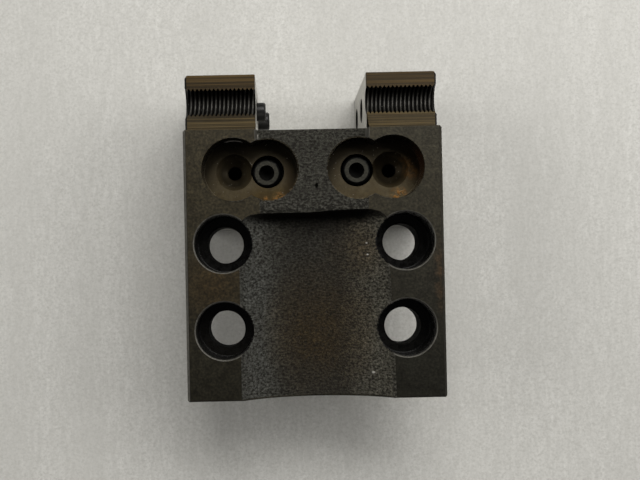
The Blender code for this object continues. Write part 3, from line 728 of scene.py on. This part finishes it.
def make_block():
    o = box("block_body", (-SIDE, 0, 0), (SIDE, H + 0.3, 58))
    cut(o, [box("c1", (-20, 95, -5), (20, H + 5, 63)), box("c2", (-50, -5, -5), (50, 63, 33)),
            box("c3", (-50, 95.2, 49), (50, H + 5, 63))], "EXACT")
    bm = bmesh.new()
    bm.from_mesh(o.data)
    layer = bm.edges.layers.float.new("bevel_weight_edge")
    for e in bm.edges:
        if len(e.link_faces) != 2 or e.calc_face_angle(0) < 0.5 or not e.is_convex:
            continue
        a, b = [Vector((v.co.x, v.co.y + H / 2000, v.co.z)) * 1000 for v in e.verts]
        d = (b - a).normalized()
        outer = abs(abs(a.x) - SIDE) < 0.01 and abs(abs(b.x) - SIDE) < 0.01
        if outer and abs(d.y) > 0.9:
            e[layer] = 0.95
        elif outer and abs(d.z) > 0.9 and a.y > 100:
            e[layer] = 1.0
        elif outer:
            e[layer] = 0.55
        else:
            e[layer] = 0.2
    bm.to_mesh(o.data)
    bm.free()
    m = o.modifiers.new("chamfer", "BEVEL")
    m.limit_method = "WEIGHT"
    m.width = 0.001
    m.segments = 1
    m.use_clamp_overlap = False
    settle(o)
    m = o.modifiers.new("break", "BEVEL")
    m.limit_method = "ANGLE"
    m.angle_limit = math.radians(28)
    m.width = 0.00009
    m.segments = 2
    settle(o)

    cutters = [relief_cutter()]
    for x, y in BOLTS:
        cutters.append(turned("c_bolt", (x, y, 0), (0, 0, 1), [
            (6.65, 29), (7.2, 33.0), (6.8, 33.45), (6.65, 33.7), (6.65, 44.55), (6.8, 44.85), (7.1, 45.0), (9.55, 45.0),
            (9.87, 45.12), (10.0, 45.45), (10.0, 57.4), (10.07, 57.58), (10.45, 57.96), (10.62, 58.03), (12.0, 58.9)]))
    for side in (-1, 1):
        cutters.append(stack("c_pocket", [
            (49.0, figure_eight(side, 10.55, 10.25)), (49.12, figure_eight(side, 10.85, 10.55)),
            (49.42, figure_eight(side, 11.02, 10.72)), (57.75, figure_eight(side, 11.05, 10.75)),
            (57.93, figure_eight(side, 11.15, 10.85)), (58.05, figure_eight(side, 11.32, 11.02)),
            (60.5, figure_eight(side, 13.0, 12.7))]))
        cutters.append(turned("c_seat", (side * SEAT_X, POCKET_Y, 0), (0, 0, 1), [
            (2.35, 22), (2.35, 44.75), (2.5, 44.98), (2.9, 45.25), (4.2, 46.1), (5.2, 47.0), (5.95, 48.0),
            (6.35, 48.75), (6.55, 49.02), (7.4, 49.6)]))
        cutters.append(turned("c_screw", (side * SCREW_X, POCKET_Y, 0), (0, 0, 1), [
            (3.5, 42.39), (5.5, 42.4), (5.72, 42.5), (5.8, 42.75), (5.8, 48.8), (5.9, 48.98), (6.15, 49.1), (7.2, 49.9)]))
        cutters.append(turned("c_tapped", (SCREW_AT[side][0], SCREW_AT[side][1], 0), (0, 0, 1), [
            (0.5, 26.4), (2.9, 28.0), (2.9, 42.2), (3.2, 42.6)], 64))
    for side in (-1, 1):
        out = side * SIDE
        a, b = (-48.5, -17.0) if side < 0 else (17.0, 48.5)
        for z in CLAMP_Z:
            if side < 0 and z < 40:
                cutters.append(threaded_rod("c_tap", (0, CLAMP_Y, z), (1, 0, 0), a, b, 5.25, 4.80, 1.5, [(out, side * 1.0)]))
            else:
                cutters.append(threaded_rod("c_tap", (0, CLAMP_Y, z), (1, 0, 0), a, b, 5.02, 4.25, 1.5, [(out, side * 1.0)]))
    cutters.append(turned("c_cross", (0, POCKET_Y, 22), (1, 0, 0), [
        (6.6, -SIDE - 1.25), (5.35, -SIDE), (5.15, -SIDE + 0.3), (5.15, -37.7), (3, -37.7),
        (3, 37.7), (5.15, 37.7), (5.15, SIDE - 0.3), (5.35, SIDE), (6.6, SIDE + 1.25)], 64))
    cutters.append(turned("c_link", (0, POCKET_Y, 0), (0, 0, 1), [
        (6.6, -1.5), (5.35, 0.0), (5.15, 0.3), (5.15, 7.3), (2.9, 7.3), (2.9, 40.0), (0.4, 41.2)], 64))
    cutters.append(turned("c_riser", (0, 0, 40), (0, 1, 0), [
        (0.4, 49), (3, 50.6), (3, 87.7), (5.15, 87.7), (5.15, 94.7), (5.35, 95.0), (6.6, 96.5)], 64))
    cutters.append(turned("c_inlet", (0, 54.0, 0), (0, 0, 1), [
        (7.6, 31.8), (6.9, 33.0), (6.7, 33.2), (6.7, 34.55), (6.5, 34.7), (4.2, 34.7), (4.0, 34.9), (4.0, 40.0)]))
    cutters.append(box("c_keyway", (-25.3, 39.85 - 6.3, 29), (25.3, 39.85 + 6.3, 37)))
    for side in (-1, 1):
        cutters.append(turned("c_keytap", (side * 16.0, 39.85, 0), (0, 0, 1), [(2.5, 33), (2.5, 46.2), (0.4, 47.4)], 48))
    cut(o, cutters)
    classify(o)
    shade(o, 32)
    return o




def classify(o):
    mesh = o.data
    mesh.materials.clear()
    for f in (mat_pad, mat_cast, mat_step, mat_bare, mat_thread, mat_ground, mat_pocket, mat_bore, mat_wall, mat_socket):
        mesh.materials.append(f())
    count = len(mesh.polygons)
    c = np.empty(count * 3)
    mesh.polygons.foreach_get("center", c)
    c = c.reshape(-1, 3) * 1000 + np.array([0, H / 2, 0])
    nrm = np.empty(count * 3)
    mesh.polygons.foreach_get("normal", nrm)
    nrm = nrm.reshape(-1, 3)
    x, y, z = c.T
    nx, ny, nz = nrm.T
    idx = np.zeros(count, int)
    relief = (z < 57.995) & (np.abs(x) < 29.5) & (y < 95.02) & (z > 44.5) & (nz > 0.02) & ~((ny > 0.9) & (y > 94.5))
    relief |= (z < 57.9) & (z > 46.5) & (np.abs(x) < 27.6) & (y > 60) & (y < 67.5) & (ny < -0.1)
    edge = (y < 0.5) | (y > 94.6) & (np.abs(nz) < 0.9) & (ny > 0.3)
    idx[relief & ~edge] = 1
    idx[(x < -44.55) & (nx < -0.4) & (nz > 0.4) & (z > 56.9)] = 2
    idx[relief & (np.abs(nx) > 0.30) & (y > 86.0) & (np.abs(x) > 17.5) & (np.abs(x) < 21.6)] = 2
    idx[(y > 95.02) & (z > 48.0) & (nz > 0.6)] = 3
    idx[(y > 95.3) & (np.abs(x) < 20.6) & (np.abs(nx) > 0.9)] = 5
    idx[(np.abs(y - 95) < 0.05) & (np.abs(x) < 20.2) & (ny > 0.9) & (z < 58)] = 5
    idx[(nz < -0.9) & (np.abs(z - 33) < 0.1)] = 5
    idx[(ny < -0.9) & (np.abs(y - 63) < 0.1)] = 5
    for side in (-1, 1):
        do = np.hypot(x - side * SEAT_X, y - POCKET_Y)
        di = np.hypot(x - side * SCREW_X, y - POCKET_Y)
        inside = ((do < 11.36) | (di < 11.06)) & (z < 57.80) & (z > 20)
        flat_pad = (nz > 0.999) & (np.abs(z - 58) < 0.004)
        wall = (np.abs(do - 11.05) < 0.3) | (np.abs(di - 10.75) < 0.3) | (z < 50.5)
        idx[inside & ~flat_pad & wall & (y > 68)] = 6
        idx[inside & ~flat_pad & wall & (y > 68) & (np.abs(nz) < 0.6) & (z > 49.1)] = 8
        idx[inside & (z < 44.9) & (do < 6)] = 7
        idx[inside & (z < 48.9) & (di < 6.0)] = 7
    for bx, by in BOLTS:
        d = np.hypot(x - bx, y - by)
        idx[(d < 10.7) & (z < 57.55) & (z > 33.05) & (d < 10.2)] = 7
        idx[(d < 7.15) & (z < 44.98) & (z > 33.05)] = 9
        idx[(d < 10.9) & (d > 9.98) & (z < 58.05) & (z >= 57.55) & (np.abs(nz) < 0.995)] = 2
    for zc in CLAMP_Z:
        d = np.hypot(y - CLAMP_Y, z - zc)
        idx[(d < 6.3) & (np.abs(x) > 19.5) & (np.abs(nx) < 0.97) & (z < 48.99) & (d > 3.9)] = 4
    idx[(np.hypot(x, y - 54.0) < 7.3) & (z > 33.02) & (z < 44) & (y < 62)] = 7
    idx[(z > 33.02) & (z < 37.02) & (np.abs(x) < 25.4) & (np.abs(y - 39.85) < 6.35)] = 5
    mesh.polygons.foreach_set("material_index", idx.astype(np.int32))
    mesh.update()


# ---------------------------------------------------------------- fasteners and small pieces
def hex_cut(centre, axis, across, low, high, cone=0.0):
    """A hexagonal socket from low to high along axis; the end at `low` is the mouth or `high` is, cone deepens the far end."""
    turn = basis(axis)
    base = P(*centre)
    r = across / math.sqrt(3)
    verts, faces = [], []
    lv = [low, high]
    for s in lv:
        for i in range(6):
            a = math.pi * i / 3 + 0.2
            verts.append(base + turn @ Vector((r * math.cos(a), r * math.sin(a), s)) * 0.001)
    faces += [(i, (i + 1) % 6, 6 + (i + 1) % 6, 6 + i) for i in range(6)]
    tip = base + turn @ Vector((0, 0, (high + cone) if cone > 0 else (low + cone))) * 0.001
    verts.append(tip)
    if cone > 0:
        faces.append(tuple(range(5, -1, -1)))
        faces += [(6 + i, 6 + (i + 1) % 6, 12) for i in range(6)]
    else:
        faces.append(tuple(range(6, 12)))
        faces += [((i + 1) % 6, i, 12) for i in range(6)]
    return fix_normals(new_object("c_hex", verts, faces))


def socket_bevel(centre, axis, across, mouth, inward):
    """The chamfer round a socket's mouth; inward is +1 or -1 along axis."""
    r = across / math.sqrt(3)
    prof = [(r + 0.7, mouth - inward * 0.9), (r - 0.10, mouth + inward * 0.05), (r - 0.40, mouth + inward * 0.35)]
    if inward < 0:
        prof = prof[::-1]
    return turned("c_mouth", centre, axis, prof, 64)


def dress(o, material, body, node):
    o.data.materials.clear()
    for m in material if isinstance(material, (list, tuple)) else [material]:
        o.data.materials.append(m)
    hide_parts(node)
    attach(o, body)
    return o


def clamp_screw(name, z, protrusion):
    tip = -20 + protrusion
    tail = tip - 25.0
    per = 12
    segs = 112
    st = [tail, tail + 0.02]
    st += list(np.arange(tail + 0.08, tip - 5.9, 1.5 / per))
    st += [tip - 5.9, tip - 5.4, tip - 5.05, tip - 4.95, tip - 3.4, tip - 1.7, tip - 0.62, tip - 0.52, tip - 0.46, tip - 0.10, tip - 0.04, tip]

    def radius(s, ang):
        if s > tip - 5.0:
            r = 3.5
            if s > tip - 0.5:
                r = 3.5 - (s - (tip - 0.5)) * 1.0
            return np.full(ang.shape, min(r, 3.5))
        t = 4.12 + 0.57 * tooth((s / 1.5 - ang / (2 * math.pi)) % 1.0, 0.12, 0.86)
        t = np.minimum(t, 3.45 + (s - tail) * 1.0)
        t = np.minimum(t, 3.55 + max(0.0, (tip - 5.0) - s) * 1.2)
        return t

    o = fix_normals(rings(name, (0, CLAMP_Y, z), (1, 0, 0), st, radius, segs))
    cut(o, [hex_cut((0, CLAMP_Y, z), (1, 0, 0), 5.0, tail - 1.0, tail + 5.2, 1.2),
            socket_bevel((0, CLAMP_Y, z), (1, 0, 0), 5.0, tail, 1)])
    shade(o, 30)
    return o


def cap_screw(name, centre, axis, head_r, head_h, shank_r, length, pitch, across, sock, phase=0.0):
    """Socket cap screw. centre is under the head, axis points from the shank to the head's top."""
    per = 8
    segs = 180
    lo = -length
    st = [lo, lo + 0.02] + list(np.arange(lo + 0.1, -0.9, pitch / per)) + [-0.9, -0.7, -0.35, -0.12, 0.0]
    k0 = len(st)
    head = [0.0, 0.12, 0.35, 0.42]
    head += [0.42 + (head_h - 1.35 - 0.42) * i / 6 for i in range(1, 7)]
    head += [head_h - 1.3, head_h - 0.95, head_h - 0.65, head_h - 0.4, head_h - 0.2, head_h - 0.04, head_h]
    stations = st + head

    def radius(i, s, ang):
        if i < k0:
            t = shank_r * 0.84 + shank_r * 0.155 * tooth((s / pitch - ang / (2 * math.pi)) % 1.0, 0.12, 0.86)
            t = np.minimum(t, shank_r * 0.76 + (s - lo) * 1.0)
            if s > -0.95:
                t = np.full(ang.shape, shank_r * 0.97 + max(0.0, s + 0.35) * 0.6)
            return t
        r = head_r
        if s < 0.4:
            r = head_r - 0.35 + s * 0.9
        top = head_h - s
        if top < 1.0:
            u = 1 - top / 1.0
            r = head_r - 0.08 - head_r * 0.130 * u ** 1.5
        r = min(r, head_r)
        out = np.full(ang.shape, r)
        if 0.5 < s < head_h - 1.0:
            out = out - 0.13 * (0.5 + 0.5 * np.cos(ang * (segs / 4)))
        return out

    turn = np.array(basis(axis))
    base = np.array(P(*centre))
    ang = np.arange(segs) * 2 * math.pi / segs + phase
    verts = []
    for i, s in enumerate(stations):
        r = radius(i, s, ang)
        pts = np.stack([r * np.cos(ang), r * np.sin(ang), np.full(segs, s)], 1) * 0.001
        verts.append(pts @ turn.T + base)
    faces = []
    n = len(stations)
    for k in range(n - 1):
        a, b = k * segs, (k + 1) * segs
        for i in range(segs):
            j = (i + 1) % segs
            faces.append((a + i, a + j, b + j, b + i))
    faces.append(tuple(range(segs - 1, -1, -1)))
    faces.append(tuple(range((n - 1) * segs, n * segs)))
    o = fix_normals(new_object(name, np.concatenate(verts), faces))
    cut(o, [hex_cut(centre, axis, across, head_h - sock, head_h + 1.0, -across * 0.28),
            socket_bevel(centre, axis, across, head_h, -1)])
    shade(o, 30)
    return o


def mark_top(o, axis_index, level_mm, sign, inner, outer, centre2):
    """Second material on the flat ring of a screw head, third inside its socket."""
    mesh = o.data
    for p in mesh.polygons:
        c = p.center * 1000
        below = (level_mm - c[axis_index]) * sign
        if -0.02 < below < 6.5 and abs(p.normal[axis_index]) < 0.93 and math.hypot(c[0] - centre2[0], c[1] - centre2[1]) < 3.05:
            p.material_index = 2
        rest = [c[i] for i in range(3) if i != axis_index]
        if sign * p.normal[axis_index] > 0.93 and abs(c[axis_index] - level_mm) < 0.06:
            if math.hypot(rest[0] - centre2[0], rest[1] - centre2[1]) < outer:
                p.material_index = 1


def plug(name, centre, axis):
    segs = 96
    prof = [(4.05, 0.0), (4.25, 0.04), (4.72, 0.5), (4.82, 0.7), (4.66, 5.7), (4.5, 6.05), (4.05, 6.5)]
    o = turned(name, centre, axis, prof, segs)
    cut(o, [hex_cut(centre, axis, 5.0, -1.0, 4.0, 1.0), socket_bevel(centre, axis, 5.0, 0.0, 1)])
    shade(o, 30)
    return o


block = make_block()
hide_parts("holder_body")
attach(block, "block")

black = mat_screw()
head_face = mat_screw_top()
socket_black = mat_socket()
for which, z, out in (("front", 29.0, 3.4), ("rear", 9.0, 4.5)):
    o = clamp_screw("clamp_screw_%s_piece" % which, z, out)
    dress(o, black, "clamp_" + which, "clamp_screw_" + which)
for which, side in (("left", -1), ("right", 1)):
    cx, cy = SCREW_AT[side]
    o = cap_screw("nozzle_screw_%s_piece" % which, (cx, cy, 42.7), (0, 0, 1), 5.0, 6.0, 2.7, 12.0, 1.0, 5.0, 3.6,
                  phase=0.0)
    dress(o, [black, head_face, socket_black], "nozzle_" + which, "nozzle_screw_" + which)
    mark_top(o, 2, 48.7, 1, 2.0, 4.34, (cx, cy - H / 2))

plug_mat = mat_plug()
for which, centre, axis in (("left", (-44.6, POCKET_Y, 22.0), (1, 0, 0)), ("right", (44.6, POCKET_Y, 22.0), (-1, 0, 0)),
                            ("back", (0, POCKET_Y, 0.4), (0, 0, 1)), ("top", (0, 94.6, 40.0), (0, -1, 0))):
    o = plug("gallery_plug_%s_piece" % which, centre, axis)
    dress(o, plug_mat, "block", "gallery_plug_" + which)


def make_ring():
    na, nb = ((96, 24))
    c = P(0, 54.0, 33 - 0.5 + 0.95)
    verts, faces = [], []
    for i in range(na):
        a = 2 * math.pi * i / na
        for j in range(nb):
            b = 2 * math.pi * j / nb
            r = 5.35 + 0.95 * math.cos(b) + 0.02 * (abs(math.cos(b)) > 0.985)
            verts.append(c + Vector((r * math.cos(a), r * math.sin(a), 0.95 * math.sin(b))) * 0.001)
    for i in range(na):
        for j in range(nb):
            k, l = (i + 1) % na, (j + 1) % nb
            faces.append((i * nb + j, k * nb + j, k * nb + l, i * nb + l))
    o = fix_normals(new_object("inlet_o_ring_piece", verts, faces))
    o.data.shade_smooth()
    return o


dress(make_ring(), mat_rubber(), "block", "inlet_o_ring")


def make_key():
    o = box("locating_key_piece", (-25, 39.85 - 6, 27.7), (25, 39.85 + 6, 36.7))
    m = o.modifiers.new("chamfer", "BEVEL")
    m.width = 0.0007
    m.segments = 1
    m.limit_method = "ANGLE"
    settle(o)
    m = o.modifiers.new("break", "BEVEL")
    m.width = 0.0001
    m.segments = 2
    m.limit_method = "ANGLE"
    m.angle_limit = math.radians(28)
    settle(o)
    cut(o, [turned("c", (s * 16.0, 39.85, 0), (0, 0, 1), [
        (5.6, 26.7), (4.85, 27.7), (4.6, 27.95), (4.6, 33.3), (2.9, 33.3), (2.75, 33.5), (2.75, 36.4), (3.1, 36.7), (4.0, 37.6)], 96)
        for s in (-1, 1)])
    shade(o, 28)
    return o


dress(make_key(), mat_key(), "block", "locating_key")
for which, side in (("left", -1), ("right", 1)):
    o = cap_screw("key_screw_%s_piece" % which, (side * 16.0, 39.85, 33.0), (0, 0, -1), 4.25, 5.0, 2.2, 12.0, 0.8, 4.0, 2.8)
    dress(o, [black, head_face, socket_black], "block", "key_screw_" + which)
    mark_top(o, 2, 28.0, -1, 1.6, 4.0, (side * 16.0, 39.85 - H / 2))

# ---------------------------------------------------------------- floor, light, camera
def make_floor():
    o = new_object("floor", [(-1.6, -1.6, -0.0002), (1.6, -1.6, -0.0002), (1.6, 1.6, -0.0002), (-1.6, 1.6, -0.0002)], [(0, 1, 2, 3)])
    n = Nodes("pale_table")
    grain = n.noise(1.0, 4, 0.7, seed=3)
    soft = n.noise(0.03, 2, 0.5)
    streak = n.noise(1.0, 3, 0.6, stretch=(0.55, 0.10, 1.0), seed=9)
    tone = n.ramp(grain, [(0.32, (0.43, 0.425, 0.40)), (0.5, (0.55, 0.545, 0.52)), (0.68, (0.63, 0.625, 0.60))])
    tone = n.mix(n.grey(streak, 0.35, 0.7, 0.0, 0.45), tone, (0.43, 0.425, 0.40))
    wide = n.noise(1.0, 3, 0.6, stretch=(0.045, 0.006, 1.0), seed=29)
    tone = n.mix(n.grey(wide, 0.38, 0.66, 0.0, 0.35), tone, (0.44, 0.435, 0.41))
    tone = n.mix(n.grey(soft, 0.35, 0.7, 0.0, 0.12), tone, (0.46, 0.455, 0.43))
    n.done(tone, n.grey(grain, 0.3, 0.7, 0.50, 0.65), 0.0, n.bump(grain, 0.02, 0.5))
    o.data.materials.append(n.m)
    return o


make_floor()


def area(name, at, target, size, power, colour=(1, 1, 1)):
    d = bpy.data.lights.new(name, "AREA")
    d.shape = "RECTANGLE"
    d.size, d.size_y = size
    d.energy = power
    d.color = colour
    o = bpy.data.objects.new(name, d)
    scene.collection.objects.link(o)
    o.location = at
    o.rotation_mode = "QUATERNION"
    o.rotation_quaternion = (Vector(target) - Vector(at)).to_track_quat("-Z", "Y")
    return o


area("key", (0.20, 0.62, 0.90), (0.0, 0.0, 0.03), (0.9, 0.5), 10.0, (1.0, 0.985, 0.95))
area("side_left", (-0.86, 0.14, 0.70), (0.0, 0.0, 0.02), (0.6, 0.5), 3.6, (1.0, 0.985, 0.955))
area("side_right", (0.90, 0.22, 0.76), (0.0, 0.0, 0.02), (0.6, 0.5), 5.0, (1.0, 0.985, 0.955))
world = bpy.data.worlds.new("studio")
scene.world = world
world.use_nodes = True
world.node_tree.nodes["Background"].inputs[0].default_value = (1.0, 0.99, 0.97, 1.0)
world.node_tree.nodes["Background"].inputs[1].default_value = 0.10

cam = bpy.data.cameras.new("camera")
cam.sensor_width = 36.0
cam.lens = 876.9 / 640 * 36.0
cam.shift_x = (320 - 286.5) / 640
cam.shift_y = (269.8 - 240) / 640
cam.clip_start, cam.clip_end = 0.01, 20.0
camera = bpy.data.objects.new("camera", cam)
scene.collection.objects.link(camera)
tilt = (Matrix.Rotation(math.radians(1.16), 3, "Z") @ Matrix.Rotation(math.radians(0.26), 3, "Y")
        @ Matrix.Rotation(math.radians(-0.48), 3, "X"))
camera.matrix_world = Matrix.Translation((-0.0114, (43.0 - H / 2) / 1000, 0.3643)) @ tilt.transposed().to_4x4()
scene.camera = camera
scene.view_settings.view_transform = "Standard"
scene.view_settings.look = "None"
